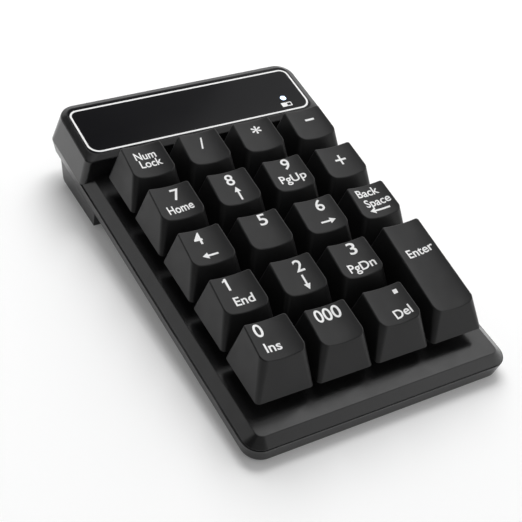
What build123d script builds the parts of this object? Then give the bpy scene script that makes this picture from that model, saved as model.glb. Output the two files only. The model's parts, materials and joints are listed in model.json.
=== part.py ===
from build123d import *
import os
from math import asin, atan2, cos, radians, sin

# Wireless numeric keypad: nineteen sprung keys on a low wedge-shaped case.
#
# Two frames are used. The world frame has +Z up from the desk, +Y towards the rear (the battery end)
# and +X to the right, with the origin on the desk under the middle of the case. The deck frame is the
# tilted one that the case is drawn in: its XY plane is the flat deck that the keys stand over, with
# Y = 0 on the middle row of keys. Heights called "..._z" are deck heights unless they say "desk".

os.makedirs("parts", exist_ok=True)

# ---------------------------------------------------------------- driving dimensions, millimetres
desk_tilt = 3.3                 # the deck slopes down towards the user by this angle, degrees
key_pitch = 19.05               # standard keyboard spacing
column_count = 4

case_half_width = 43.6          # widest line of the case, where the two shells meet
case_front_y = -56.9
case_rear_y = 77.6
case_front_corner = 5.5
case_rear_corner = 3.0
deck_half_width = 40.1          # inner edge of the sloping band round the deck
deck_front_y = -54.0
deck_corner = 2.0
parting_z = -2.9
base_z = -7.0
side_undercut = 0.9             # the lower shell narrows by this much towards the desk
front_undercut = 0.35
deck_edge_round = 0.4
parting_edge_round = 0.25
deck_thickness = 2.0
wall_thickness = 2.0
hump_front_wall = 1.6
floor_thickness = 2.1
front_edge_lift = 0.5           # gap between the lower front edge and the desk

hump_front_y = 51.4             # raised box across the rear
hump_corner = 2.0
hump_rear_corner = 5.5          # at the rim; the corner is tighter lower down
hump_inner_corner = 1.0
hump_edge_round = 0.45
hump_rim_half_width = 42.5
hump_rim_rear_y = 77.0
hump_rim_z = 7.0                # height at which those two are measured
hump_loft_top_z = 12.0          # the walls are drawn this high, then cut by the sloping top
hump_top_front_z = 7.15
hump_top_slope = 3.35           # extra slope of the glossy panel over the deck, degrees
rim_width = 2.0                 # sloping rim round the panel
rim_drop = 0.7
lens_margin = 2.35
lens_thickness = 1.2
lens_corner = 3.0
lens_gap = 0.08
roof_thickness = 1.3

foot_half_width = 42.4          # wedge foot under the rear, which holds the battery
foot_front_y = 44.0
foot_rear_y = 71.4
foot_rear_lean = 3.4            # the rear face runs this far forward on its way down
foot_nose = 1.8                 # round lower front edge of the foot
foot_desk_gap = 0.8
foot_wall = 1.8
foot_floor = 1.5

skirt_z = 4.0                   # lower edge of a key at rest
key_travel = 3.5
skirt_half_x = 8.96
skirt_half_y = 8.93
skirt_corner = 1.3
cap_rear_y = 7.55               # the dished top, from the middle of the key
cap_front_y = -4.3
cap_rear_rise = 11.6            # over the skirt
cap_front_rise = 9.85
cap_rear_half_width = 6.4
cap_front_half_width = 6.95
cap_rear_corner = 0.9
cap_front_corner = 2.2
cap_edge_round = 0.4
dish_depth = 0.95
cap_wall = 1.0
cap_roof = 1.5
zero_extra_rise = 1.9           # the 0 key stands a little prouder than its neighbours

guide_half = 4.9                # square guide tube under each key
guide_height = 3.0
guide_drop = 3.0
plunger_half = 4.0
plunger_gap = 0.1
plunger_foot_z = -0.1
plunger_shoulder_z = 8.0
stem_half = 1.95
stem_gap = 0.05
stem_rise = 3.4
boss_half = 3.3

dome_sheet_top_z = -3.6
dome_sheet_thickness = 0.5
dome_foot_radius = 3.9
dome_crown_radius = 2.5
dome_crown_z = -0.15
dome_skin = 0.6
membrane_thickness = 0.12
contact_radius = 2.5
support_plate_thickness = 0.4
sheet_half_width = 38.0
sheet_front_y = -47.4
sheet_rear_y = 47.4
stack_gap = 0.01

bar_radius = 0.6                # wire that keeps the double-height key level
bar_bend = 1.2
bar_arm = 9.0
bar_half_span = 12.0
bar_hook_length = 2.6
bar_pivot_x = -5.8              # from the middle of the double-height key
bar_pivot_z = 2.45
bar_clip_y = 9.0
bar_clip_width = 2.0
bar_clip_top_z = 3.3
bar_clip_half = 0.9
bar_running_gap = 0.05
bar_hook_gap = 0.2
bar_slot_half_x = 1.1

screw_front = (35.0, -50.6)
screw_rear = (38.0, 73.0)
screw_radius = 1.0
screw_head_radius = 1.8
screw_head_height = 1.2
screw_shank = 3.6
screw_gap = 0.06
screw_slot_width = 0.5
screw_slot_depth = 0.5
screw_boss_radius = 2.4
screw_recess_radius = 2.1
screw_recess = 1.9
boss_joint_z = -3.4

cell_radius = 7.1               # one AA cell lying across the foot
cell_length = 49.0
cell_nipple_radius = 2.6
cell_nipple_length = 1.4
cell_left_x = -33.5
cell_y = 60.2
cell_floor_gap = 0.25
contact_thickness = 0.4
contact_half_y = 4.0
contact_half_z = 4.5
contact_rib = 0.9
spring_length = 2.7
spring_radius = 3.6
spring_turns = 2.6
spring_pitch = 0.8
spring_wire = 0.5
spring_cone = 22

door_left_x = -35.8
door_right_x = 17.0
door_front_y = 51.8
door_thickness = 1.4
door_tongue = 1.0
door_tongue_thickness = 0.5
door_tongue_desk_z = 1.35
door_gap = 0.2
door_tongue_gap = 0.1
door_ridge_count = 5
door_ridge_pitch = 1.8
door_ridge_width = 0.8
door_ridge_depth = 0.35
door_ridge_length = 16.0

foot_pad_thin = 3.6
foot_pad_long = 14.0
foot_pad_round = 1.7
front_pad_x = 23.0
front_pad_y = -50.6
rear_pad_x = 30.0
rear_pad_y = 49.4
pad_edge_round = 0.25

receiver_x = 26.9
receiver_shell = (14.4, 6.5, 5.9)
receiver_shell_corner = 1.0
receiver_plug = (12.0, 12.2, 4.5)
plug_wall = 0.5
plug_core_depth = 1.0           # the plug's plastic core ends this far inside its shell
plug_window = 2.2               # square holes that the socket's springs drop into
plug_window_place = 0.7         # share of the plug's length
receiver_mid_z = 0.35
receiver_gap = 0.2
receiver_recess = 0.3
bay_wall = 0.9
bay_depth = 20.0

board_left_x = 18.9
board_right_x = 35.0
board_front_y = 54.6
board_rear_y = 74.8
board_z = 3.6
board_thickness = 1.0
board_corner = 1.0
board_peg_radius = 1.2
board_pegs = ((21.2, 57.2), (33.0, 72.8))
led_x = 32.0
led_y = 60.6
led_size = (1.6, 0.8, 0.6)
led_window_radius = 1.6
chip_x = 26.6
chip_y = 70.6
chip_size = (5.0, 5.0, 0.8)
chip_leg = 0.35
chip_leg_count = 6

switch_x = 29.0
switch_y = 57.4
switch_size = (8.6, 4.2, 3.6)
switch_seat_desk_z = 2.35
switch_travel = 3.0
switch_post = (2.2, 1.5)
switch_post_top_desk_z = 4.2
switch_head = (2.6, 3.2, 0.5)
switch_head_desk_z = 0.95
switch_groove_count = 3
switch_groove = 0.2
switch_gap = 0.2
switch_recess = (9.0, 4.4, 0.7)

# ---------------------------------------------------------------- frames
tilt = radians(desk_tilt)
rise_at_front = -case_front_y * sin(tilt) - base_z * cos(tilt)
deck_origin_z = front_edge_lift + rise_at_front
rear_most_y = case_rear_y * cos(tilt) - parting_z * sin(tilt)
front_most_y = case_front_y * cos(tilt) - parting_z * sin(tilt)
deck_origin_y = -(rear_most_y + front_most_y) / 2
deck_up = Vector(0, -sin(tilt), cos(tilt))
hump_draft = (hump_loft_top_z - parting_z) / (hump_rim_z - parting_z)
hump_loft_half_width = case_half_width - (case_half_width - hump_rim_half_width) * hump_draft
hump_loft_rear_y = case_rear_y - (case_rear_y - hump_rim_rear_y) * hump_draft
hump_loft_corner = case_rear_corner + (hump_rear_corner - case_rear_corner) * hump_draft
deck = Plane(origin=(0, deck_origin_y, deck_origin_z), x_dir=(1, 0, 0), z_dir=deck_up)
panel_angle = radians(desk_tilt + hump_top_slope)
panel_up = Vector(0, -sin(panel_angle), cos(panel_angle))


def deck_plane_at(x, y, z):
    """Deck-parallel plane whose origin is the deck point x, y, z."""
    return Plane(origin=deck.from_local_coords((x, y, z)), x_dir=(1, 0, 0), z_dir=deck_up)


def lies_on(plane, edge):
    """Whether an edge lies on a plane."""
    return abs(plane.to_local_coords(edge.center()).Z) < stack_gap


def desk_plane_under(x, y, desk_z):
    """Desk-parallel plane at the height desk_z, under the deck point x, y on the base."""
    spot = deck.from_local_coords((x, y, base_z))
    return Plane(origin=(spot.X, spot.Y, desk_z), x_dir=(1, 0, 0), z_dir=(0, 0, 1))


def panel_plane(depth):
    """Plane of the sloping top of the hump, this far below its face."""
    front = deck.from_local_coords((0, hump_front_y, hump_top_front_z))
    return Plane(origin=front - panel_up * depth, x_dir=(1, 0, 0), z_dir=panel_up)


def write(piece, name):
    piece.part.label = name
    export_step(piece.part, "parts/" + name + ".step")


def panel_outline(depth, margin, corner):
    """Rounded outline on the sloping top of the hump, inside the rim's outer edge by the margin."""
    length = (hump_rim_rear_y - hump_front_y) / cos(radians(hump_top_slope))
    with BuildSketch(panel_plane(depth)) as outline:
        with Locations((0, length / 2)):
            RectangleRounded(2 * (hump_rim_half_width - margin), length - 2 * margin, corner)
    return outline.sketch


def rounded_outline(plane, half_width, front_y, rear_y, front_radius, rear_radius):
    """Rectangle on a deck-parallel plane, with one radius at the front corners and another at the rear."""
    with BuildSketch(plane) as outline:
        with Locations((0, (front_y + rear_y) / 2)):
            Rectangle(2 * half_width, rear_y - front_y)
        rear_corners = outline.vertices(Select.ALL).group_by(Axis.Y)[-1]
        fillet(rear_corners, rear_radius)
        front_corners = outline.vertices().group_by(Axis.Y)[0]
        fillet(front_corners, front_radius)
    return outline.sketch


# ---------------------------------------------------------------- key layout
# name, column, row counted from the middle, length in key units, extra height
key_layout = [
    ("num_lock", 0, 2, 1, 0), ("divide", 1, 2, 1, 0), ("multiply", 2, 2, 1, 0), ("minus", 3, 2, 1, 0),
    ("7", 0, 1, 1, 0), ("8", 1, 1, 1, 0), ("9", 2, 1, 1, 0), ("plus", 3, 1, 1, 0),
    ("4", 0, 0, 1, 0), ("5", 1, 0, 1, 0), ("6", 2, 0, 1, 0), ("backspace", 3, 0, 1, 0),
    ("1", 0, -1, 1, 0), ("2", 1, -1, 1, 0), ("3", 2, -1, 1, 0), ("enter", 3, -1.5, 2, 0),
    ("0", 0, -2, 1, zero_extra_rise), ("000", 1, -2, 1, 0), ("decimal", 2, -2, 1, 0),
]


def key_x(column):
    return (column - (column_count - 1) / 2) * key_pitch


key_spots = []
for key_name, column, row, units, extra in key_layout:
    key_spots.append((key_x(column), row * key_pitch))
enter_x = key_x(3)
enter_y = -1.5 * key_pitch
screw_spots = [
    (-screw_front[0], screw_front[1]), screw_front,
    (-screw_rear[0], screw_rear[1]), screw_rear,
]


# ---------------------------------------------------------------- keycaps
cap_slope = atan2(cap_rear_rise - cap_front_rise, cap_rear_y - cap_front_y)
dish_radius = (cap_front_half_width ** 2 + dish_depth ** 2) / (2 * dish_depth)
bar_swing = asin(key_travel / 2 / bar_arm)
bar_tip_x = bar_pivot_x + bar_arm * cos(bar_swing)
bar_tip_z = bar_pivot_z + bar_arm * sin(bar_swing)
hook_bottom_z = bar_tip_z - 2 * bar_radius - bar_hook_gap


def cap_top_plane(key_plane, middle_y, extra_rise):
    """Sloping plane through the corners of the dished top."""
    middle_rise = (cap_rear_rise + cap_front_rise) / 2 + extra_rise
    spot = key_plane.from_local_coords((0, middle_y, skirt_z + middle_rise))
    lean = radians(desk_tilt) + cap_slope
    return Plane(origin=spot, x_dir=(1, 0, 0), z_dir=(0, -sin(lean), cos(lean)))


def build_keycap(key_plane, units, extra_rise):
    """Hollow tapered cap with a dished top, round corners and a socket for its plunger."""
    stretch = (units - 1) * key_pitch / 2
    rear_y = cap_rear_y + stretch
    front_y = cap_front_y - stretch
    top_plane = cap_top_plane(key_plane, (rear_y + front_y) / 2, extra_rise)
    half_length = (rear_y - front_y) / 2
    roof_z = skirt_z + cap_front_rise + extra_rise - cap_roof - dish_depth
    dish_profile = Plane(origin=top_plane.origin, x_dir=(1, 0, 0), z_dir=-top_plane.y_dir)
    with BuildPart() as keycap:
        with BuildSketch(key_plane.offset(skirt_z)):
            RectangleRounded(2 * skirt_half_x, 2 * (skirt_half_y + stretch), skirt_corner)
        with BuildSketch(top_plane) as top_outline:
            with BuildLine():
                Polyline(
                    (-cap_front_half_width, -half_length),
                    (cap_front_half_width, -half_length),
                    (cap_rear_half_width, half_length),
                    (-cap_rear_half_width, half_length),
                    close=True,
                )
            make_face()
            fillet(top_outline.vertices().group_by(Axis.Y)[-1], cap_rear_corner)
            fillet(top_outline.vertices().group_by(Axis.Y)[0], cap_front_corner)
        loft(ruled=True)
        with BuildSketch(dish_profile):
            with Locations((0, dish_radius - dish_depth)):
                Circle(dish_radius)
        extrude(amount=half_length + skirt_half_y, both=True, mode=Mode.SUBTRACT)
        dished_face = keycap.faces().filter_by(GeomType.CYLINDER).sort_by(SortBy.AREA)[-1]
        fillet(dished_face.edges(), cap_edge_round)
        with BuildSketch(key_plane.offset(skirt_z)):
            Rectangle(2 * (skirt_half_x - cap_wall), 2 * (skirt_half_y + stretch - cap_wall))
        with BuildSketch(key_plane.offset(roof_z)):
            with Locations((0, (cap_rear_y + cap_front_y) / 2)):
                Rectangle(2 * (cap_rear_half_width - cap_wall), 2 * (half_length - cap_wall))
        loft(ruled=True, mode=Mode.SUBTRACT)
        with BuildSketch(key_plane.offset(plunger_shoulder_z)):
            Rectangle(2 * boss_half, 2 * boss_half)
        extrude(amount=roof_z - plunger_shoulder_z + stack_gap)
        with BuildSketch(key_plane.offset(plunger_shoulder_z)):
            Rectangle(2 * (stem_half + stem_gap), 2 * (stem_half + stem_gap))
        extrude(amount=stem_rise + stem_gap, mode=Mode.SUBTRACT)
        if units > 1:
            for side in (-1, 1):
                leg_y = side * (bar_half_span - bar_hook_length + bar_radius)
                with BuildSketch(key_plane.offset(hook_bottom_z)):
                    with Locations((bar_tip_x, leg_y)):
                        Rectangle(2 * bar_slot_half_x + cap_wall, cap_wall)
                extrude(amount=roof_z - hook_bottom_z)
                slot_plane = Plane(
                    origin=key_plane.from_local_coords((bar_tip_x, leg_y - cap_wall, bar_tip_z)),
                    x_dir=(1, 0, 0),
                    z_dir=key_plane.y_dir,
                )
                with BuildSketch(slot_plane):
                    Rectangle(2 * bar_slot_half_x, 2 * (bar_radius + bar_running_gap))
                extrude(amount=2 * cap_wall, mode=Mode.SUBTRACT)
    return keycap


def build_plunger(key_plane):
    """Square post that slides in the guide tube and presses the rubber dome."""
    with BuildPart() as plunger:
        with BuildSketch(key_plane.offset(plunger_foot_z)):
            Rectangle(2 * plunger_half, 2 * plunger_half)
        extrude(amount=plunger_shoulder_z - plunger_foot_z)
        upright = plunger.edges().filter_by(Axis(key_plane.origin, key_plane.z_dir))
        chamfer(upright, cap_edge_round)
        with BuildSketch(key_plane.offset(plunger_shoulder_z)):
            Rectangle(2 * stem_half, 2 * stem_half)
        extrude(amount=stem_rise)
        with BuildSketch(key_plane.offset(plunger_foot_z)):
            Circle(dome_crown_radius)
        extrude(amount=dome_skin, mode=Mode.SUBTRACT)
        with BuildSketch(key_plane.offset(plunger_foot_z)):
            Circle(dome_crown_radius - dome_skin)
        extrude(amount=dome_skin)
    return plunger


for key_name, column, row, units, extra in key_layout:
    key_plane = deck_plane_at(key_x(column), row * key_pitch, 0)
    keycap = build_keycap(key_plane, units, extra)
    write(keycap, "keycap_" + key_name)
    plunger = build_plunger(key_plane)
    write(plunger, "plunger_" + key_name)

# ---------------------------------------------------------------- levelling wire of the double-height key
enter_plane = deck_plane_at(enter_x, enter_y, 0)
bar_plane = Plane(
    origin=enter_plane.from_local_coords((bar_pivot_x, 0, bar_pivot_z)),
    x_dir=enter_plane.x_dir * cos(bar_swing) + deck_up * sin(bar_swing),
    z_dir=deck_up * cos(bar_swing) - enter_plane.x_dir * sin(bar_swing),
)
with BuildPart() as stabiliser_bar:
    with BuildLine(bar_plane) as bar_path:
        FilletPolyline(
            (bar_arm, bar_half_span - bar_hook_length),
            (bar_arm, bar_half_span),
            (0, bar_half_span),
            (0, -bar_half_span),
            (bar_arm, -bar_half_span),
            (bar_arm, -bar_half_span + bar_hook_length),
            radius=bar_bend,
        )
    with BuildSketch(Plane(origin=bar_path.line @ 0, z_dir=bar_path.line % 0)):
        Circle(bar_radius)
    sweep()
write(stabiliser_bar, "stabiliser_bar")

# ---------------------------------------------------------------- upper shell
with BuildPart() as hump:
    add(rounded_outline(deck.offset(parting_z), case_half_width, hump_front_y, case_rear_y,
                        hump_corner, case_rear_corner))
    add(rounded_outline(deck.offset(hump_loft_top_z), hump_loft_half_width, hump_front_y,
                        hump_loft_rear_y, hump_corner, hump_loft_corner))
    loft(ruled=True)
    split(bisect_by=panel_plane(rim_drop), keep=Keep.BOTTOM)
    crown = hump.faces().sort_by(Axis(deck.origin, panel_up))[-1]
    add(crown)
    add(panel_outline(0, rim_width, lens_corner))
    loft(ruled=True)
    rim_edges = hump.edges().filter_by(lambda edge: lies_on(panel_plane(rim_drop), edge))
    fillet(rim_edges, hump_edge_round)

with BuildPart() as hump_cavity:
    add(rounded_outline(deck.offset(parting_z), case_half_width - wall_thickness,
                        hump_front_y + hump_front_wall, case_rear_y - wall_thickness,
                        hump_inner_corner, case_rear_corner / 2))
    add(rounded_outline(deck.offset(hump_loft_top_z), hump_loft_half_width - wall_thickness,
                        hump_front_y + hump_front_wall, hump_loft_rear_y - wall_thickness,
                        hump_inner_corner, hump_loft_corner / 2))
    loft(ruled=True)
    split(bisect_by=panel_plane(lens_thickness + roof_thickness), keep=Keep.BOTTOM)

bay_half_width = receiver_shell[0] / 2 + receiver_gap
bay_low_z = receiver_mid_z - receiver_shell[2] / 2 - receiver_gap / 2
bay_high_z = receiver_mid_z + receiver_shell[2] / 2 + receiver_gap
bay_front_y = case_rear_y - bay_depth
bar_hook_y = bar_half_span - bar_hook_length + bar_radius

with BuildPart() as top_case:
    add(rounded_outline(deck.offset(parting_z), case_half_width, case_front_y, case_rear_y,
                        case_front_corner, case_rear_corner))
    add(rounded_outline(deck, deck_half_width, deck_front_y, hump_rim_rear_y - case_rear_corner,
                        deck_corner, case_rear_corner))
    loft(ruled=True)
    fillet(top_case.edges().filter_by(lambda edge: lies_on(deck, edge)), deck_edge_round)
    parting_edges = top_case.edges().filter_by(lambda edge: lies_on(deck.offset(parting_z), edge))
    fillet(parting_edges, parting_edge_round)
    add(hump.part)
    add(hump_cavity.part, mode=Mode.SUBTRACT)
    # space under the deck
    outline = rounded_outline(deck.offset(parting_z), deck_half_width, deck_front_y,
                              hump_front_y + 2 * wall_thickness, deck_corner, deck_corner)
    extrude(outline, amount=-deck_thickness - parting_z, mode=Mode.SUBTRACT)
    # square guide tubes, one for each key
    with BuildSketch(deck.offset(-guide_drop)):
        with Locations(key_spots):
            Rectangle(2 * guide_half, 2 * guide_half)
    extrude(amount=guide_drop + guide_height)
    with BuildSketch(deck.offset(-guide_drop)):
        with Locations(key_spots):
            Rectangle(2 * (plunger_half + plunger_gap), 2 * (plunger_half + plunger_gap))
    extrude(amount=guide_drop + guide_height, mode=Mode.SUBTRACT)
    # clips for the levelling wire, and openings for the legs that pull on it
    with BuildSketch(deck):
        with Locations(
            (enter_x + bar_pivot_x, enter_y - bar_clip_y),
            (enter_x + bar_pivot_x, enter_y + bar_clip_y),
        ):
            Rectangle(2 * bar_clip_half, bar_clip_width)
    extrude(amount=bar_clip_top_z)
    with BuildSketch(deck):
        with Locations(
            (enter_x + bar_tip_x, enter_y - bar_hook_y),
            (enter_x + bar_tip_x, enter_y + bar_hook_y),
        ):
            Rectangle(2 * bar_slot_half_x + 2 * cap_wall, 2 * cap_wall)
    extrude(amount=-deck_thickness, mode=Mode.SUBTRACT)
    bar_bore = Plane(
        origin=deck.from_local_coords((enter_x + bar_pivot_x, enter_y, bar_pivot_z)),
        x_dir=deck.x_dir,
        z_dir=deck.y_dir,
    )
    with BuildSketch(bar_bore):
        Circle(bar_radius + bar_running_gap)
    extrude(amount=bar_half_span, both=True, mode=Mode.SUBTRACT)
    # pocket for the glossy panel and the window over the light
    outline = panel_outline(0, lens_margin - lens_gap, lens_corner)
    extrude(outline, amount=-lens_thickness, mode=Mode.SUBTRACT)
    with BuildSketch(deck.offset(board_z)):
        with Locations((led_x, led_y)):
            Circle(led_window_radius)
    extrude(amount=hump_loft_top_z - board_z, mode=Mode.SUBTRACT)
    # screw bosses
    with BuildSketch(deck.offset(boss_joint_z)):
        with Locations((-screw_front[0], screw_front[1]), screw_front):
            Circle(screw_boss_radius)
    extrude(amount=-deck_thickness - boss_joint_z)
    with BuildSketch(deck.offset(boss_joint_z)):
        with Locations((-screw_rear[0], screw_rear[1]), screw_rear):
            Circle(screw_boss_radius)
    extrude(until=Until.NEXT, target=top_case.part)
    with BuildSketch(deck.offset(boss_joint_z)):
        with Locations(screw_spots):
            Circle(screw_radius + screw_gap)
    extrude(amount=screw_shank - (boss_joint_z - base_z - screw_recess) + screw_gap, mode=Mode.SUBTRACT)
    # bay and rear slot for the plug-in receiver, and pegs that hold the circuit board down on the bay
    with BuildSketch(deck.offset(bay_low_z)):
        with Locations((receiver_x, (bay_front_y - bay_wall + case_rear_y - wall_thickness) / 2)):
            Rectangle(2 * (bay_half_width + bay_wall), bay_depth + bay_wall - wall_thickness)
    extrude(amount=board_z - bay_low_z)
    with BuildSketch(deck.offset(bay_low_z)):
        with Locations((receiver_x, case_rear_y - bay_depth / 2)):
            Rectangle(2 * bay_half_width, bay_depth)
    extrude(amount=bay_high_z - bay_low_z, mode=Mode.SUBTRACT)
    with BuildSketch(deck.offset(bay_high_z)):
        with Locations((receiver_x, (bay_front_y + case_rear_y) / 2 - wall_thickness)):
            Rectangle(2 * bay_half_width - 2 * bay_wall, bay_depth - 2 * wall_thickness)
    extrude(amount=board_z - bay_high_z, mode=Mode.SUBTRACT)
    with BuildSketch(deck.offset(board_z + board_thickness)):
        with Locations(board_pegs):
            Circle(board_peg_radius)
    extrude(until=Until.NEXT, target=top_case.part)
write(top_case, "top_case")

# ---------------------------------------------------------------- glossy panel
with BuildPart() as lens_panel:
    outline = panel_outline(0, lens_margin, lens_corner)
    extrude(outline, amount=-lens_thickness)
write(lens_panel, "lens_panel")

# ---------------------------------------------------------------- lower shell
floor_plane = deck.offset(base_z + floor_thickness)
foot_front_spot = deck.from_local_coords((0, foot_front_y, base_z + floor_thickness))
foot_rear_spot = deck.from_local_coords((0, foot_rear_y, base_z + floor_thickness))
foot_low_rear_y = foot_rear_spot.Y - foot_rear_lean


def foot_body(inset, floor_z, nose, headroom):
    """Wedge drawn from the side, with a round lower front edge and a rear face that leans forward."""
    with BuildPart() as wedge:
        with BuildSketch(Plane.YZ) as profile:
            with BuildLine():
                Polyline(
                    (foot_front_spot.Y + inset, foot_front_spot.Z + headroom),
                    (foot_front_spot.Y + inset, floor_z),
                    (foot_low_rear_y - inset, floor_z),
                    (foot_rear_spot.Y - inset, foot_rear_spot.Z + headroom),
                    close=True,
                )
            make_face()
            lowest = profile.vertices().group_by(Axis.Z)[0]
            fillet(lowest.sort_by(Axis.Y)[0], nose)
        extrude(amount=foot_half_width - inset, both=True)
    return wedge


foot = foot_body(0, foot_desk_gap, foot_nose, 0)
foot_cavity = foot_body(foot_wall, foot_desk_gap + foot_floor, foot_nose / 2, foot_wall)

cell_spot = deck.from_local_coords((0, cell_y, base_z))
cell_desk_z = foot_desk_gap + foot_floor + cell_floor_gap + cell_radius
contact_left_x = cell_left_x - spring_length - 2 * stack_gap - contact_thickness
contact_right_x = cell_left_x + cell_length + cell_nipple_length + 2 * stack_gap + contact_thickness
door_front_spot = deck.from_local_coords((0, door_front_y, base_z))
door_middle_x = (door_left_x + door_right_x) / 2
door_grip_y = foot_low_rear_y - door_ridge_count * door_ridge_pitch
door_width = door_right_x - door_left_x
door_profile = Plane(
    origin=(door_middle_x, door_front_spot.Y, foot_desk_gap),
    x_dir=(-1, 0, 0),
    z_dir=(0, 1, 0),
)
tongue_low = door_tongue_desk_z - foot_desk_gap
tongue_high = tongue_low + door_tongue_thickness


def door_section(plane, gap, tongue_gap, height):
    """Section across the battery door: a plate with a tongue along each side."""
    with BuildSketch(plane) as section:
        with Locations((0, height / 2)):
            Rectangle(door_width + 2 * gap, height)
        with Locations((0, (tongue_low + tongue_high) / 2)):
            Rectangle(
                door_width + 2 * door_tongue + 2 * gap,
                tongue_high - tongue_low + 2 * tongue_gap,
            )
    return section.sketch


with BuildPart() as bottom_case:
    add(rounded_outline(deck.offset(parting_z), case_half_width, case_front_y, case_rear_y,
                        case_front_corner, case_rear_corner))
    add(rounded_outline(deck.offset(base_z), case_half_width - side_undercut,
                        case_front_y + front_undercut, case_rear_y - side_undercut,
                        case_front_corner, case_rear_corner))
    loft(ruled=True)
    add(foot.part)
    outline = rounded_outline(floor_plane, case_half_width - wall_thickness,
                              case_front_y + wall_thickness, case_rear_y - wall_thickness,
                              case_front_corner - wall_thickness, case_rear_corner - wall_thickness)
    extrude(outline, amount=parting_z - base_z - floor_thickness, mode=Mode.SUBTRACT)
    add(foot_cavity.part, mode=Mode.SUBTRACT)
    # screw posts with countersunk pockets
    with BuildSketch(deck.offset(base_z)):
        with Locations(screw_spots):
            Circle(screw_boss_radius + screw_gap)
    extrude(amount=boss_joint_z - base_z - stack_gap)
    with BuildSketch(deck.offset(base_z)):
        with Locations(screw_spots):
            Circle(screw_recess_radius)
    extrude(amount=screw_recess, mode=Mode.SUBTRACT)
    with BuildSketch(deck.offset(base_z)):
        with Locations(screw_spots):
            Circle(screw_radius + screw_gap)
    extrude(amount=boss_joint_z - base_z, mode=Mode.SUBTRACT)
    # opening and side grooves for the battery door
    section = door_section(door_profile, door_gap, door_tongue_gap, foot_floor)
    extrude(section, amount=foot_rear_spot.Y - door_front_spot.Y, mode=Mode.SUBTRACT)
    # ribs behind the two battery contacts
    with BuildSketch(desk_plane_under(0, cell_y, foot_desk_gap + foot_floor)):
        with Locations(
            (contact_left_x - contact_rib / 2, 0),
            (contact_right_x + contact_rib / 2, 0),
        ):
            Rectangle(contact_rib, 2 * contact_half_y + 2 * contact_rib)
    extrude(amount=2 * contact_half_z)
    # recess and window of the power switch
    with BuildSketch(desk_plane_under(switch_x, switch_y, foot_desk_gap)):
        Rectangle(switch_recess[0], switch_recess[1])
    extrude(amount=switch_recess[2], mode=Mode.SUBTRACT)
    with BuildSketch(desk_plane_under(switch_x, switch_y, foot_desk_gap)):
        Rectangle(switch_travel + switch_post[0] + 2 * switch_gap, switch_post[1] + 2 * switch_gap)
    extrude(amount=foot_floor, mode=Mode.SUBTRACT)
write(bottom_case, "bottom_case")

# ---------------------------------------------------------------- battery door
with BuildPart() as battery_door:
    section = door_section(door_profile.offset(door_gap), 0, 0, door_thickness)
    extrude(section, amount=foot_low_rear_y - door_front_spot.Y - door_gap)
    with BuildSketch(Plane(origin=(door_middle_x, door_grip_y, foot_desk_gap))):
        with GridLocations(0, door_ridge_pitch, 1, door_ridge_count):
            Rectangle(door_ridge_length, door_ridge_width)
    extrude(amount=door_ridge_depth, mode=Mode.SUBTRACT)
write(battery_door, "battery_door")

# ---------------------------------------------------------------- screws and rubber feet
with BuildPart() as case_screws:
    with BuildSketch(deck.offset(base_z + screw_recess - screw_head_height)):
        with Locations(screw_spots):
            Circle(screw_head_radius)
    extrude(amount=screw_head_height)
    with BuildSketch(deck.offset(base_z + screw_recess)):
        with Locations(screw_spots):
            Circle(screw_radius)
    extrude(amount=screw_shank)
    with BuildSketch(deck.offset(base_z + screw_recess - screw_head_height)):
        with Locations(screw_spots):
            Rectangle(2 * screw_radius, screw_slot_width)
            Rectangle(screw_slot_width, 2 * screw_radius)
    extrude(amount=screw_slot_depth, mode=Mode.SUBTRACT)
write(case_screws, "case_screws")

front_pad_spot = deck.from_local_coords((0, front_pad_y, base_z))
rear_pad_spot = deck.from_local_coords((0, rear_pad_y, base_z))
with BuildPart() as front_feet:
    with BuildSketch(Plane.XY):
        with Locations((-front_pad_x, front_pad_spot.Y), (front_pad_x, front_pad_spot.Y)):
            RectangleRounded(foot_pad_long, foot_pad_thin, foot_pad_round)
    extrude(amount=foot_pad_thin)
    split(bisect_by=deck.offset(base_z), keep=Keep.BOTTOM)
    fillet(front_feet.edges().group_by(Axis.Z)[0], pad_edge_round)
with BuildPart() as rubber_feet:
    with BuildSketch(Plane.XY):
        with Locations((-rear_pad_x, rear_pad_spot.Y), (rear_pad_x, rear_pad_spot.Y)):
            RectangleRounded(foot_pad_long, foot_pad_thin, foot_pad_round)
    extrude(amount=foot_desk_gap)
    fillet(rubber_feet.edges().group_by(Axis.Z)[0], pad_edge_round)
    add(front_feet.part)
write(rubber_feet, "rubber_feet")

# ---------------------------------------------------------------- rubber domes, contact sheets and plate
dome_base_z = dome_sheet_top_z - dome_sheet_thickness


def sheet_outline(height):
    """Outline shared by the domes, the contact sheets and the plate under the keys."""
    return rounded_outline(deck.offset(height), sheet_half_width, sheet_front_y, sheet_rear_y,
                           deck_corner, deck_corner)


with BuildPart() as dome_sheet:
    outline = sheet_outline(dome_base_z)
    extrude(outline, amount=dome_sheet_thickness)
    for spot in key_spots:
        with BuildSketch(deck_plane_at(spot[0], spot[1], dome_sheet_top_z)):
            Circle(dome_foot_radius)
        with BuildSketch(deck_plane_at(spot[0], spot[1], dome_crown_z)):
            Circle(dome_crown_radius - dome_skin - stem_gap)
        loft(ruled=True)
        with BuildSketch(deck_plane_at(spot[0], spot[1], dome_base_z)):
            Circle(dome_foot_radius - dome_skin)
        with BuildSketch(deck_plane_at(spot[0], spot[1], dome_crown_z - 2 * dome_skin)):
            Circle(dome_crown_radius - 2 * dome_skin)
        loft(ruled=True, mode=Mode.SUBTRACT)
write(dome_sheet, "dome_sheet")


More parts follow.
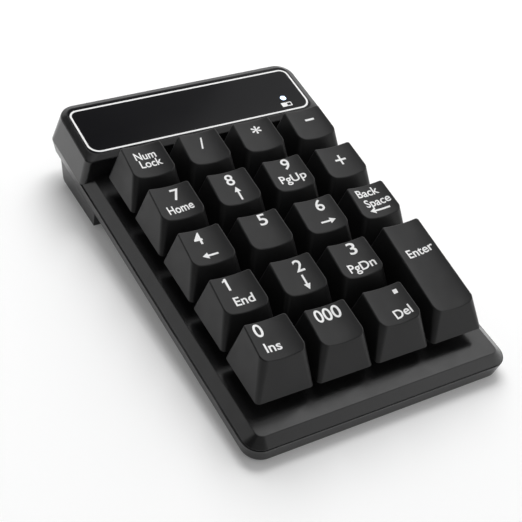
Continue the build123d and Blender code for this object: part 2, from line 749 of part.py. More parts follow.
def build_membrane(top_z, with_holes):
    """Thin plastic sheet under the domes; the middle one has a hole at each key."""
    with BuildPart() as membrane:
        outline = sheet_outline(top_z - membrane_thickness)
        extrude(outline, amount=membrane_thickness)
        if with_holes:
            with BuildSketch(deck.offset(top_z - membrane_thickness)):
                with Locations(key_spots):
                    Circle(contact_radius)
            extrude(amount=membrane_thickness, mode=Mode.SUBTRACT)
    return membrane


sheet_step = membrane_thickness + stack_gap
membrane_top_z = dome_base_z - stack_gap
membrane_upper = build_membrane(membrane_top_z, False)
write(membrane_upper, "membrane_upper")
membrane_spacer = build_membrane(membrane_top_z - sheet_step, True)
write(membrane_spacer, "membrane_spacer")
membrane_lower = build_membrane(membrane_top_z - 2 * sheet_step, False)
write(membrane_lower, "membrane_lower")

with BuildPart() as support_plate:
    outline = sheet_outline(base_z + floor_thickness)
    extrude(outline, amount=support_plate_thickness)
write(support_plate, "support_plate")

# ---------------------------------------------------------------- electronics under the glossy panel
board_middle = ((board_left_x + board_right_x) / 2, (board_front_y + board_rear_y) / 2)
with BuildPart() as controller_board:
    with BuildSketch(deck.offset(board_z)):
        with Locations(board_middle):
            RectangleRounded(board_right_x - board_left_x, board_rear_y - board_front_y, board_corner)
    extrude(amount=board_thickness)
write(controller_board, "controller_board")

board_top_z = board_z + board_thickness
with BuildPart() as controller_chip:
    with BuildSketch(deck.offset(board_top_z + chip_leg / 2)):
        with Locations((chip_x, chip_y)):
            Rectangle(chip_size[0], chip_size[1])
    extrude(amount=chip_size[2] - chip_leg / 2)
    with BuildSketch(deck.offset(board_top_z)):
        with Locations((chip_x, chip_y)):
            with GridLocations(2 * chip_leg, 0, chip_leg_count, 1):
                Rectangle(chip_leg, chip_size[1] + 2 * chip_leg)
    extrude(amount=chip_leg)
write(controller_chip, "controller_chip")

with BuildPart() as status_led:
    with BuildSketch(deck.offset(board_top_z)):
        with Locations((led_x, led_y)):
            Rectangle(led_size[0], led_size[1])
    extrude(amount=led_size[2])
    with BuildSketch(deck.offset(board_top_z + led_size[2])):
        with Locations((led_x, led_y)):
            Circle(led_size[1] / 2)
    extrude(amount=led_size[2], taper=20)
write(status_led, "status_led")

# ---------------------------------------------------------------- battery and its contacts
cell_axis = Plane(
    origin=(cell_left_x, cell_spot.Y, cell_desk_z),
    x_dir=(0, 1, 0),
    z_dir=(1, 0, 0),
)
with BuildPart() as battery_cell:
    with BuildSketch(cell_axis):
        Circle(cell_radius)
    extrude(amount=cell_length)
    fillet(battery_cell.edges().filter_by(GeomType.CIRCLE), screw_slot_width)
    with BuildSketch(cell_axis.offset(cell_length)):
        Circle(cell_nipple_radius)
    extrude(amount=cell_nipple_length)
write(battery_cell, "battery_cell")

with BuildPart() as battery_contacts:
    with BuildSketch(cell_axis.offset(cell_length + cell_nipple_length + stack_gap)):
        Rectangle(2 * contact_half_y, 2 * contact_half_z)
    extrude(amount=contact_thickness)
    spring_foot = cell_axis.offset(-spring_length - stack_gap)
    with BuildSketch(spring_foot):
        Rectangle(2 * contact_half_y, 2 * contact_half_z)
    extrude(amount=-contact_thickness)
    with BuildLine():
        coil = Helix(
            pitch=spring_pitch,
            height=spring_turns * spring_pitch,
            radius=spring_radius,
            center=spring_foot.origin + spring_foot.z_dir * spring_wire / 4,
            direction=spring_foot.z_dir,
            cone_angle=-spring_cone,
        )
    with BuildSketch(Plane(origin=coil @ 0, z_dir=coil % 0)):
        Circle(spring_wire / 2)
    sweep()
write(battery_contacts, "battery_contacts")

# ---------------------------------------------------------------- power switch
switch_seat = desk_plane_under(switch_x, switch_y, switch_seat_desk_z)
with BuildPart() as switch_body:
    with BuildSketch(switch_seat):
        Rectangle(switch_size[0], switch_size[1])
    extrude(amount=switch_size[2])
    with BuildSketch(switch_seat):
        Rectangle(switch_travel + switch_post[0] + 2 * switch_gap, switch_post[1] + 2 * switch_gap)
    extrude(amount=switch_post_top_desk_z - switch_seat_desk_z + switch_gap, mode=Mode.SUBTRACT)
write(switch_body, "switch_body")

knob_x = switch_x - switch_travel / 2
with BuildPart() as switch_knob:
    with BuildSketch(desk_plane_under(knob_x, switch_y, switch_head_desk_z)):
        Rectangle(switch_head[0], switch_head[1])
    extrude(amount=switch_head[2])
    with BuildSketch(desk_plane_under(knob_x, switch_y, switch_head_desk_z)):
        with GridLocations(switch_head[0] / switch_groove_count, 0, switch_groove_count, 1):
            Rectangle(switch_groove, switch_head[1])
    extrude(amount=switch_groove, mode=Mode.SUBTRACT)
    with BuildSketch(desk_plane_under(knob_x, switch_y, switch_head_desk_z + switch_head[2])):
        Rectangle(switch_post[0], switch_post[1])
    extrude(amount=switch_post_top_desk_z - switch_head_desk_z - switch_head[2])
write(switch_knob, "switch_knob")

# ---------------------------------------------------------------- plug-in receiver in its rear bay
receiver_face = Plane(
    origin=deck.from_local_coords((receiver_x, case_rear_y - receiver_recess, receiver_mid_z)),
    x_dir=(-1, 0, 0),
    z_dir=deck.y_dir,
)
with BuildPart() as receiver_shell_body:
    with BuildSketch(receiver_face):
        RectangleRounded(receiver_shell[0], receiver_shell[2], receiver_shell_corner)
    extrude(amount=-receiver_shell[1])
    outer_rim = receiver_shell_body.faces().sort_by(Axis.Y)[-1].edges()
    fillet(outer_rim, cap_edge_round)
write(receiver_shell_body, "receiver_shell")

window_y = case_rear_y - receiver_recess - receiver_shell[1] - receiver_plug[1] * plug_window_place
with BuildPart() as receiver_plug_body:
    with BuildSketch(receiver_face.offset(-receiver_shell[1])):
        Rectangle(receiver_plug[0], receiver_plug[2])
    extrude(amount=-receiver_plug[1])
    with BuildSketch(receiver_face.offset(-receiver_shell[1] - plug_core_depth)):
        with Locations((0, receiver_plug[2] / 4 - plug_wall / 2)):
            Rectangle(receiver_plug[0] - 2 * plug_wall, receiver_plug[2] / 2 - plug_wall)
    extrude(amount=-receiver_plug[1], mode=Mode.SUBTRACT)
    with BuildSketch(deck.offset(receiver_mid_z + receiver_plug[2] / 2 - plug_wall)):
        with Locations((receiver_x, window_y)):
            with GridLocations(receiver_plug[0] / 2, 0, 2, 1):
                Rectangle(plug_window, plug_window)
    extrude(amount=plug_wall, mode=Mode.SUBTRACT)
write(receiver_plug_body, "receiver_plug")
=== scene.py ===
import json
from math import cos, pi, radians, sin

import bmesh
import bpy
from mathutils import Matrix, Vector
from mathutils.bvhtree import BVHTree


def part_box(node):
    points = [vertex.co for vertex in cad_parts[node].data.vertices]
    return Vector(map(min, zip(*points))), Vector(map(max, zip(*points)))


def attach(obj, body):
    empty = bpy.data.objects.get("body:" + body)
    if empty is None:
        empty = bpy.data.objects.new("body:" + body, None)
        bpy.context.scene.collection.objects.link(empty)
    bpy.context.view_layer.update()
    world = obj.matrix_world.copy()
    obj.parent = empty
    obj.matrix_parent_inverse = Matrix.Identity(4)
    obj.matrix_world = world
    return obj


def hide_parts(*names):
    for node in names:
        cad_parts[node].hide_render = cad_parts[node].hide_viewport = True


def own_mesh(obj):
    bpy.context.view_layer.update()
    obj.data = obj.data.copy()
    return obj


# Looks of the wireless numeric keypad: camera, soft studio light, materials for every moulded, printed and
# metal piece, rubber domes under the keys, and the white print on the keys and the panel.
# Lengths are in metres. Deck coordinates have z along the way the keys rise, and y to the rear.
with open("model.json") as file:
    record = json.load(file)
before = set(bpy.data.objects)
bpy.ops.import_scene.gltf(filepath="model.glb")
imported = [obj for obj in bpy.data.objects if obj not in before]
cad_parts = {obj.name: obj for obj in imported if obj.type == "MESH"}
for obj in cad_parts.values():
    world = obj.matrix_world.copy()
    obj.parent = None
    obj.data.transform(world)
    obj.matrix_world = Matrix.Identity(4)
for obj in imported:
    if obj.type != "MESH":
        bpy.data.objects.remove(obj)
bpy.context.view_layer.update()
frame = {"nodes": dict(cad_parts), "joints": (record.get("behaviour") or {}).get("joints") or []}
mm = 0.001
weld = 0.001 * mm               # points nearer than this are one

# ---------------------------------------------------------------- camera
camera_target = Vector((-7.31, -7.77, 10.0)) * mm
camera_azimuth = radians(-36.971)
camera_elevation = radians(41.695)
camera_roll = radians(10.721)
camera_distance = 0.34704
camera_lens = 80.588            # millimetres, as is the sensor
camera_sensor = 36

# ---------------------------------------------------------------- deck directions, from the way a key travels
press_joint = next(joint for joint in frame["joints"] if joint["name"] == "key_5_press")
deck_up = -Vector(press_joint["axis"]).normalized()
deck_rear = Vector((0, deck_up.z, -deck_up.y))
deck_right = Vector((1, 0, 0))


def deck_point(x, y, z):
    """World point at the deck coordinates x, y, z."""
    return deck_right * x + deck_rear * y + deck_up * z


def deck_box(node):
    """Lowest and highest corners of a CAD node in deck coordinates."""
    corners = []
    for pick in (min, max):
        corner = []
        for direction in (deck_right, deck_rear, deck_up):
            corner.append(pick(vertex.co.dot(direction) for vertex in frame["nodes"][node].data.vertices))
        corners.append(Vector(corner))
    return corners


def deck_middle(node):
    """Middle of a CAD node's box in deck coordinates."""
    low, high = deck_box(node)
    return (low + high) / 2


# ---------------------------------------------------------------- material building blocks
noise_low = 0.3                 # a noise rarely leaves the span between these two
noise_high = 0.7


def principled(name, colour, roughness):
    """New material with a Principled shader; returns the material, its node tree and the shader."""
    material = bpy.data.materials.new(name)
    material.use_nodes = True
    tree = material.node_tree
    shader = tree.nodes["Principled BSDF"]
    shader.inputs["Base Color"].default_value = (*colour, 1)
    shader.inputs["Roughness"].default_value = roughness
    return material, tree, shader


def noise(tree, scale, detail=2.0, stretch=(1, 1, 1)):
    """Noise in object coordinates; scale is in cycles per metre."""
    place = tree.nodes.new("ShaderNodeTexCoord")
    mapping = tree.nodes.new("ShaderNodeMapping")
    mapping.inputs["Scale"].default_value = stretch
    texture = tree.nodes.new("ShaderNodeTexNoise")
    texture.inputs["Scale"].default_value = scale
    texture.inputs["Detail"].default_value = detail
    tree.links.new(place.outputs["Object"], mapping.inputs["Vector"])
    tree.links.new(mapping.outputs["Vector"], texture.inputs["Vector"])
    return texture.outputs["Fac"]


def vary_colour(tree, shader, source, dark, light, low=noise_low, high=noise_high):
    """Base colour that moves between two close tones with a noise."""
    ramp = tree.nodes.new("ShaderNodeValToRGB")
    ramp.color_ramp.elements[0].position = low
    ramp.color_ramp.elements[0].color = (*dark, 1)
    ramp.color_ramp.elements[1].position = high
    ramp.color_ramp.elements[1].color = (*light, 1)
    tree.links.new(source, ramp.inputs["Fac"])
    tree.links.new(ramp.outputs["Color"], shader.inputs["Base Color"])


def vary_roughness(tree, shader, source, smooth, rough):
    """Roughness that moves between two values with a noise."""
    spread = tree.nodes.new("ShaderNodeMapRange")
    spread.inputs["From Min"].default_value = noise_low
    spread.inputs["From Max"].default_value = noise_high
    spread.inputs["To Min"].default_value = smooth
    spread.inputs["To Max"].default_value = rough
    tree.links.new(source, spread.inputs["Value"])
    tree.links.new(spread.outputs["Result"], shader.inputs["Roughness"])


def add_bump(tree, shader, source, strength, height):
    """Fine relief; height is that of its highest points."""
    bump = tree.nodes.new("ShaderNodeBump")
    bump.inputs["Strength"].default_value = strength
    bump.inputs["Distance"].default_value = height
    tree.links.new(source, bump.inputs["Height"])
    tree.links.new(bump.outputs["Normal"], shader.inputs["Normal"])


# ---------------------------------------------------------------- materials
# Noise scales are in cycles per metre.
tone_patches = 90
gloss_patches = 260
mould_grain = 3800
rubber_grain = 2500
grain_height = 0.02 * mm
metal_lines = 900
metal_line_depth = 0.01 * mm
metal_line_strength = 0.1

# Darker and lighter tone of each moulded plastic.
outer_black = ((0.009, 0.009, 0.0093), (0.012, 0.012, 0.0125))
inner_black = ((0.015, 0.015, 0.016), (0.022, 0.022, 0.023))
knob_grey = ((0.025, 0.025, 0.026), (0.034, 0.034, 0.035))
chip_black = ((0.014, 0.014, 0.014), (0.022, 0.022, 0.022))


def moulded_plastic(name, tones, smooth, rough, grain, shine=0.5):
    """Black moulded plastic: spark-eroded grain, slightly uneven tone and gloss."""
    dark, light = tones
    material, tree, shader = principled(name, dark, rough)
    shader.inputs["Specular IOR Level"].default_value = shine
    vary_colour(tree, shader, noise(tree, tone_patches, 3), dark, light)
    vary_roughness(tree, shader, noise(tree, gloss_patches, 2), smooth, rough)
    add_bump(tree, shader, noise(tree, mould_grain, 2), grain, grain_height)
    return material


def polished_panel():
    """Glossy black acrylic with the faintest smears in its polish."""
    material, tree, shader = principled("panel_gloss", (0.006, 0.006, 0.007), 0.05)
    vary_colour(tree, shader, noise(tree, 40), (0.0055, 0.0055, 0.0065), (0.007, 0.007, 0.008))
    shader.inputs["Specular IOR Level"].default_value = 0.2
    vary_roughness(tree, shader, noise(tree, 120, 3, (1, 3, 1)), 0.03, 0.07)
    return material


def rubber(name, dark, light):
    """Matt rubber with a fine grain."""
    material, tree, shader = principled(name, dark, 0.7)
    vary_colour(tree, shader, noise(tree, 500, 3), dark, light)
    vary_roughness(tree, shader, noise(tree, 900, 2), 0.6, 0.8)
    add_bump(tree, shader, noise(tree, rubber_grain, 3), 0.3, grain_height)
    return material


def metal(name, dark, light, roughness, grain_direction):
    """Rolled, drawn or plated metal, with fine lines along one direction."""
    material, tree, shader = principled(name, dark, roughness)
    shader.inputs["Metallic"].default_value = 1.0
    lines = noise(tree, metal_lines, 3, grain_direction)
    vary_colour(tree, shader, lines, dark, light)
    vary_roughness(tree, shader, lines, roughness * 0.8, roughness * 1.2)
    add_bump(tree, shader, lines, metal_line_strength, metal_line_depth)
    return material


def contact_film():
    """Clear plastic sheet with a silvery printed circuit, seen as one tone."""
    material, tree, shader = principled("contact_film", (0.5, 0.58, 0.6), 0.2)
    vary_colour(tree, shader, noise(tree, 700, 2), (0.42, 0.5, 0.53), (0.6, 0.66, 0.68))
    return material


def circuit_board():
    """Green lacquered board, mottled by the copper under the lacquer."""
    material, tree, shader = principled("board_green", (0.02, 0.13, 0.05), 0.3)
    vary_colour(tree, shader, noise(tree, 1200, 1, (1, 4, 1)), (0.02, 0.11, 0.045), (0.03, 0.17, 0.065))
    return material


def led_lens():
    """Milky lens of the status light."""
    material, tree, shader = principled("led_lens", (0.7, 0.82, 0.95), 0.15)
    vary_colour(tree, shader, noise(tree, 1500), (0.66, 0.79, 0.93), (0.74, 0.86, 0.97))
    return material


def status_glow():
    """Lit window of the status light: white in the middle, blue towards its edge."""
    material, tree, shader = principled("status_glow", (0.7, 0.82, 0.95), 0.3)
    place = tree.nodes.new("ShaderNodeTexCoord")
    spread = tree.nodes.new("ShaderNodeMapping")
    spread.vector_type = "POINT"
    glow = tree.nodes.new("ShaderNodeTexGradient")
    glow.gradient_type = "QUADRATIC_SPHERE"
    ramp = tree.nodes.new("ShaderNodeValToRGB")
    middle = deck_point(light_x, light_y, deck_box("lens_panel")[1].z)
    spread.inputs["Scale"].default_value = (glow_spread,) * 3
    spread.inputs["Location"].default_value = -middle * glow_spread
    ramp.color_ramp.elements[0].position = 0.0
    ramp.color_ramp.elements[0].color = glow_edge
    ramp.color_ramp.elements[1].position = 0.5
    ramp.color_ramp.elements[1].color = glow_middle
    tree.links.new(place.outputs["Object"], spread.inputs["Vector"])
    tree.links.new(spread.outputs["Vector"], glow.inputs["Vector"])
    tree.links.new(glow.outputs["Fac"], ramp.inputs["Fac"])
    tree.links.new(ramp.outputs["Color"], shader.inputs["Emission Color"])
    shader.inputs["Emission Strength"].default_value = glow_light
    return material


def battery_wrap():
    """Plain sleeve of the cell: dark body with a paler band at the positive end."""
    material, tree, shader = principled("battery_wrap", (0.05, 0.055, 0.065), 0.25)
    place = tree.nodes.new("ShaderNodeTexCoord")
    split = tree.nodes.new("ShaderNodeSeparateXYZ")
    spread = tree.nodes.new("ShaderNodeMapRange")
    low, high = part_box("battery_cell")
    spread.inputs["From Min"].default_value = low.x
    spread.inputs["From Max"].default_value = high.x
    tree.links.new(place.outputs["Object"], split.inputs["Vector"])
    tree.links.new(split.outputs["X"], spread.inputs["Value"])
    length = spread.outputs["Result"]
    vary_colour(tree, shader, length, (0.035, 0.04, 0.05), (0.5, 0.52, 0.54), *band_edge)
    vary_roughness(tree, shader, noise(tree, 600, 2), 0.2, 0.32)
    return material


def printed_ink():
    """Flat white printing ink, a little thinner in places."""
    material, tree, shader = principled("legend_ink", (0.8, 0.8, 0.8), 0.5)
    vary_colour(tree, shader, noise(tree, 2500, 2), (0.78, 0.78, 0.78), (0.86, 0.86, 0.86))
    vary_roughness(tree, shader, noise(tree, 1200), 0.45, 0.6)
    return material


# The status light's window; places along the panel are given from the middle row of keys.
middle_row = deck_middle("plunger_5").y
light_x = 32.0 * mm
light_y = middle_row + 60.3 * mm
light_radius = 1.05 * mm
glow_spread = 0.5 / light_radius    # the glow's gradient ends at twice the window's radius
glow_edge = (0.25, 0.45, 1.0, 1)
glow_middle = (0.8, 0.92, 1.0, 1)
glow_light = 1.2

band_edge = (0.72, 0.725)       # where along the cell its paler band begins, as shares of its length

materials = {
    "case_plastic": moulded_plastic("case_plastic", outer_black, 0.2, 0.26, 0.1, 0.55),
    "key_plastic": moulded_plastic("key_plastic", outer_black, 0.34, 0.42, 0.08, 0.33),
    "plunger_plastic": moulded_plastic("plunger_plastic", inner_black, 0.35, 0.45, 0.08),
    "knob_plastic": moulded_plastic("knob_plastic", knob_grey, 0.35, 0.45, 0.1),
    "receiver_plastic": moulded_plastic("receiver_plastic", inner_black, 0.4, 0.5, 0.12),
    "chip_black": moulded_plastic("chip_black", chip_black, 0.5, 0.65, 0.2),
    "panel_gloss": polished_panel(),
    "dome_rubber": rubber("dome_rubber", (0.56, 0.56, 0.54), (0.64, 0.64, 0.62)),
    "foot_rubber": rubber("foot_rubber", (0.018, 0.018, 0.018), (0.03, 0.03, 0.03)),
    "contact_film": contact_film(),
    "plate_steel": metal("plate_steel", (0.46, 0.46, 0.46), (0.56, 0.56, 0.56), 0.35, (1, 0.05, 1)),
    "board_green": circuit_board(),
    "led_lens": led_lens(),
    "status_glow": status_glow(),
    "battery_wrap": battery_wrap(),
    "spring_steel": metal("spring_steel", (0.55, 0.54, 0.52), (0.66, 0.65, 0.62), 0.22, (1, 1, 1)),
    "screw_steel": metal("screw_steel", (0.2, 0.2, 0.21), (0.3, 0.3, 0.31), 0.38, (1, 1, 1)),
    "switch_metal": metal("switch_metal", (0.5, 0.5, 0.5), (0.6, 0.6, 0.6), 0.3, (0.1, 1, 1)),
    "plug_metal": metal("plug_metal", (0.55, 0.55, 0.56), (0.66, 0.66, 0.67), 0.25, (1, 0.08, 1)),
    "wire_steel": metal("wire_steel", (0.5, 0.5, 0.5), (0.62, 0.62, 0.62), 0.28, (1, 0.05, 1)),
    "legend_ink": printed_ink(),
}


def finish_frame():
    """Gives every CAD node the finish that its slot in the record names."""
    for node in frame["nodes"].values():
        for place in node.material_slots:
            place.material = materials[place.material.name.split(".")[0]]


finish_frame()

# ---------------------------------------------------------------- rubber domes under the keys
dome_sheet_thickness = 0.5 * mm
dome_root = 0.01 * mm           # the domes are parted from their sheet this far above it
dome_slack = 0.03               # share taken off the rubber's height, so that no key bottoms on it
sheet_low = deck_box("dome_sheet")[0]
dome_reach = 5.0 * mm           # half the side of a square that holds one dome and no other
dome_root_z = sheet_low.z + dome_sheet_thickness * (1 - dome_slack) + dome_root


def part_of_dome_sheet(domes):
    """Either the domes or the flat sheet of the CAD's dome sheet, closed where the two were one."""
    shape = bmesh.new()
    shape.from_mesh(frame["nodes"]["dome_sheet"].data)
    bmesh.ops.remove_doubles(shape, verts=shape.verts, dist=weld)
    for vertex in shape.verts:
        vertex.co -= deck_up * (vertex.co.dot(deck_up) - sheet_low.z) * dome_slack
    cut = bmesh.ops.bisect_plane(
        shape, geom=shape.verts[:] + shape.edges[:] + shape.faces[:], plane_co=deck_up * dome_root_z,
        plane_no=deck_up, clear_inner=domes, clear_outer=not domes,
    )
    rims = [item for item in cut["geom_cut"] if isinstance(item, bmesh.types.BMEdge)]
    bmesh.ops.triangle_fill(shape, edges=rims, use_beauty=True)
    bmesh.ops.recalc_face_normals(shape, faces=shape.faces)
    return shape


def near_key(shape, key):
    """Keeps the faces of a bmesh that lie round the middle of this key."""
    middle = deck_middle("plunger_" + key)
    stray = []
    for vertex in shape.verts:
        across = vertex.co.dot(deck_right) - middle.x
        along = vertex.co.dot(deck_rear) - middle.y
        if max(abs(across), abs(along)) > dome_reach:
            stray.append(vertex)
    bmesh.ops.delete(shape, geom=stray, context="VERTS")
    return shape


def add_domes():
    """One rubber dome for each key, and the sheet they stand on."""
    sheet = add_piece(part_of_dome_sheet(False), "dome_base", "case", "dome_rubber")
    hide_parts("dome_sheet")
    for key in legends:
        dome = add_piece(near_key(part_of_dome_sheet(True), key), "dome_" + key, "case", "dome_rubber")
        middle = deck_middle("plunger_" + key)
        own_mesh(dome)


# ---------------------------------------------------------------- print on the keys
print_lift = 0.03 * mm          # how far the ink stands proud of the plastic
print_sink = 0.05 * mm          # how far its underside lies inside the plastic
print_search = 5 * mm           # height over a piece from which its surface is looked for
straight = radians(0.1)         # a corner flatter than this is dropped from the letters
sliver = 0.004 * mm             # print thinner than this is dropped when it is cut
slice_width = 0.5 * mm          # flat print is cut into strips this wide, to follow the dished tops
digit_height = 4.0 * mm
digit_width = 2.5 * mm
word_height = 2.85 * mm
digit_weight = 0.07 * mm        # how much the built-in letters are thickened
word_weight = 0.06 * mm
capital_share = 0.72            # height of a capital as a share of the font size
figure_pitch = 1.08             # width that a figure takes up, as a share of its own
slash_weight = 0.02 * mm
arrow_shaft = 0.6 * mm
arrow_head = 2.1 * mm
arrow_head_length = 1.9 * mm


def text_outline(text, width, capital_height, weight):
    """Flat bmesh of a word, centred on the origin, this wide and with capitals of this height."""
    curve = bpy.data.curves.new("text", "FONT")
    curve.body = text
    curve.size = capital_height / capital_share
    curve.offset = weight
    curve.resolution_u = 6
    holder = bpy.data.objects.new("text", curve)
    bpy.context.scene.collection.objects.link(holder)
    bpy.context.view_layer.update()
    mesh = bpy.data.meshes.new_from_object(holder.evaluated_get(bpy.context.evaluated_depsgraph_get()))
    outline = bmesh.new()
    outline.from_mesh(mesh)
    bpy.data.objects.remove(holder)
    bpy.data.curves.remove(curve)
    bpy.data.meshes.remove(mesh)
    bmesh.ops.remove_doubles(outline, verts=outline.verts, dist=weld)
    bmesh.ops.dissolve_limit(outline, angle_limit=straight, verts=outline.verts, edges=outline.edges)
    across = [vertex.co.x for vertex in outline.verts]
    middle = (min(across) + max(across)) / 2
    bmesh.ops.translate(outline, vec=(-middle, -capital_height / 2, 0), verts=outline.verts)
    bmesh.ops.scale(outline, vec=(width / (max(across) - min(across)), 1, 1), verts=outline.verts)
    return outline


def flat_polygon(points):
    """Flat bmesh of one polygon."""
    outline = bmesh.new()
    outline.faces.new([outline.verts.new((x, y, 0)) for x, y in points])
    return outline


def arrow_outline(length, heading):
    """Arrow with a straight shaft, centred on the origin; heading 0 points to the right."""
    shaft = arrow_shaft / 2
    head = arrow_head / 2
    tip = length / 2
    neck = tip - arrow_head_length
    outline = flat_polygon([
        (-tip, -shaft), (neck, -shaft), (neck, -head), (tip, 0),
        (neck, head), (neck, shaft), (-tip, shaft),
    ])
    turn = Matrix.Rotation(heading, 4, "Z")
    bmesh.ops.transform(outline, matrix=turn, verts=outline.verts)
    return outline


def bar_outline(width, height):
    """Upright rectangle, centred on the origin."""
    across, along = width / 2, height / 2
    return flat_polygon([(-across, -along), (across, -along), (across, along), (-across, along)])


def plus_outline(size, stroke):
    """Plus sign, centred on the origin."""
    half, thin = size / 2, stroke / 2
    return flat_polygon([
        (-thin, -half), (thin, -half), (thin, -thin), (half, -thin), (half, thin), (thin, thin),
        (thin, half), (-thin, half), (-thin, thin), (-half, thin), (-half, -thin), (-thin, -thin),
    ])


def move(outline, x, y):
    """The same flat bmesh, moved."""
    bmesh.ops.translate(outline, vec=(x, y, 0), verts=outline.verts)
    return outline


def joined(outlines):
    """One bmesh of several flat ones."""
    whole = bmesh.new()
    for outline in outlines:
        spare = bpy.data.meshes.new("spare")
        outline.to_mesh(spare)
        outline.free()
        whole.from_mesh(spare)
        bpy.data.meshes.remove(spare)
    return whole


def slice_across(outline):
    """Cuts a flat bmesh into strips, so that it can bend from left to right."""
    across = [vertex.co.x for vertex in outline.verts]
    cut = min(across) + slice_width
    while cut < max(across):
        geometry = outline.verts[:] + outline.edges[:] + outline.faces[:]
        bmesh.ops.bisect_plane(outline, geom=geometry, plane_co=(cut, 0, 0), plane_no=(1, 0, 0))
        cut += slice_width
    bmesh.ops.remove_doubles(outline, verts=outline.verts, dist=sliver)
    bmesh.ops.dissolve_degenerate(outline, edges=outline.edges, dist=sliver)


def surface_under(node):
    """Search tree of a CAD node's surface."""
    mesh = frame["nodes"][node].data
    points = [vertex.co.copy() for vertex in mesh.vertices]
    return BVHTree.FromPolygons(points, [tuple(face.vertices) for face in mesh.polygons])


def print_onto(outline, node, origin, name, body):
    """Lays a flat bmesh onto the top of a CAD node as a thin closed layer of ink."""
    slice_across(outline)
    outline.normal_update()
    facing_down = [face for face in outline.faces if face.normal.z < 0]
    bmesh.ops.reverse_faces(outline, faces=facing_down)
    surface = surface_under(node)
    above = deck_box(node)[1].z + print_search
    layer = bmesh.new()
    tops = []
    bottoms = []
    outline.verts.ensure_lookup_table()
    for vertex in outline.verts:
        start = deck_point(origin[0] + vertex.co.x, origin[1] + vertex.co.y, above)
        spot = surface.ray_cast(start, -deck_up)[0]
        tops.append(layer.verts.new(spot + deck_up * print_lift))
        bottoms.append(layer.verts.new(spot - deck_up * print_sink))
    outline.verts.index_update()
    for face in outline.faces:
        ring = [vertex.index for vertex in face.verts]
        layer.faces.new([tops[index] for index in ring])
        layer.faces.new([bottoms[index] for index in reversed(ring)])
    for edge in outline.edges:
        if len(edge.link_faces) == 1:
            start = edge.link_loops[0].vert.index
            end = edge.link_loops[0].link_loop_next.vert.index
            layer.faces.new([tops[end], tops[start], bottoms[start], bottoms[end]])
    outline.free()
    return add_piece(layer, name, body, "legend_ink")


def add_piece(shape, name, body, slot):
    """Turns a bmesh into an object that rides on a CAD body and takes a record slot's finish."""
    mesh = bpy.data.meshes.new(name)
    shape.to_mesh(mesh)
    shape.free()
    piece = bpy.data.objects.new(name, mesh)
    bpy.context.scene.collection.objects.link(piece)
    mesh.materials.append(materials[slot])
    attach(piece, body)
    return piece


def digit(text, x, y):
    """One or more figures, the same width each."""
    width = digit_width * len(text) * figure_pitch
    return move(text_outline(text, width, digit_height, digit_weight), x * mm, y * mm)


def word(text, width, x, y, turn=0):
    """A word under or over the figure; a few of them are printed turned by some degrees."""
    outline = text_outline(text, width * mm, word_height, word_weight)
    bmesh.ops.rotate(outline, matrix=Matrix.Rotation(radians(turn), 3, "Z"), verts=outline.verts)
    return move(outline, x * mm, y * mm)


def one(x, y):
    """The figure 1: an upright stem, and a flag that falls away to its left."""
    high = digit_height / 2
    stem = 0.7 * mm
    flag_root = 0.15 * mm
    flag_bend = -0.35 * mm
    flag_end = -0.75 * mm
    return move(flat_polygon([
        (0.0, -high), (stem, -high), (stem, high), (flag_root, high),
        (flag_bend, high - 0.55 * mm), (flag_end, high - 0.75 * mm), (flag_end, high - 1.25 * mm),
        (flag_bend, high - 1.05 * mm), (0.0, high - 0.85 * mm),
    ]), x * mm, y * mm)


def nine(x, y):
    """The figure 9, which is a 6 turned round."""
    figure = digit("6", 0, 0)
    bmesh.ops.rotate(figure, matrix=Matrix.Rotation(pi, 3, "Z"), verts=figure.verts)
    return move(figure, x * mm, y * mm)


def arrow(length, heading, x, y):
    """Arrow of a cursor key; length and place are in millimetres."""
    return move(arrow_outline(length * mm, heading), x * mm, y * mm)


# What is printed on each key: sizes and places in millimetres from the middle of the key.
right, up, left, down = 0, pi / 2, pi, -pi / 2
legends = {
    "num_lock": [word("Num", 6.8, -0.2, 3.5), word("Lock", 7.0, 0.45, 0.4)],
    "divide": [move(text_outline("/", 1.9 * mm, 1.08 * digit_height, slash_weight), 0, 3.4 * mm)],
    "multiply": [move(text_outline("*", 3.3 * mm, 4.8 * mm, digit_weight), 0.45 * mm, 2.75 * mm)],
    "minus": [move(bar_outline(3.2 * mm, 0.75 * mm), 0.9 * mm, 3.0 * mm)],
    "7": [digit("7", 1.05, 4.1), word("Home", 8.2, 0.15, -0.9, 4)],
    "8": [digit("8", 0.05, 4.5), arrow(5.0, up, 0.6, -0.85)],
    "9": [nine(0.95, 5.0), word("PgUp", 9.1, 0.5, -0.2, 2)],
    "plus": [move(plus_outline(3.8 * mm, 0.66 * mm), 0.3 * mm, 1.95 * mm)],
    "4": [digit("4", -1.35, 4.5), arrow(5.0, left, -0.3, -1.7)],
    "5": [digit("5", 1.05, 5.2)],
    "6": [digit("6", 1.45, 4.9), arrow(5.0, right, 1.25, -1.2)],
    "backspace": [
        word("Back", 7.8, -0.4, 4.9, 2), word("Space", 9.0, 1.0, 1.0, 2), arrow(7.2, left, 0.3, -2.05),
    ],
    "1": [one(-2.2, 4.85), word("End", 6.0, 0.45, -0.85)],
    "2": [digit("2", 1.6, 4.45), arrow(5.0, down, 1.05, -1.2)],
    "3": [digit("3", 1.0, 4.95), word("PgDn", 9.1, 0.65, -1.3, 3)],
    "enter": [word("Enter", 9.3, 0.7, 6.6, 5)],
    "0": [digit("0", -3.2, 5.0), word("Ins", 4.8, -1.6, -0.5)],
    "000": [digit("000", -0.2, 4.85)],
    "decimal": [move(bar_outline(1.35 * mm, 1.35 * mm), 3.5 * mm, 5.0 * mm), word("Del", 5.7, 2.0, -1.45, 6)],
}


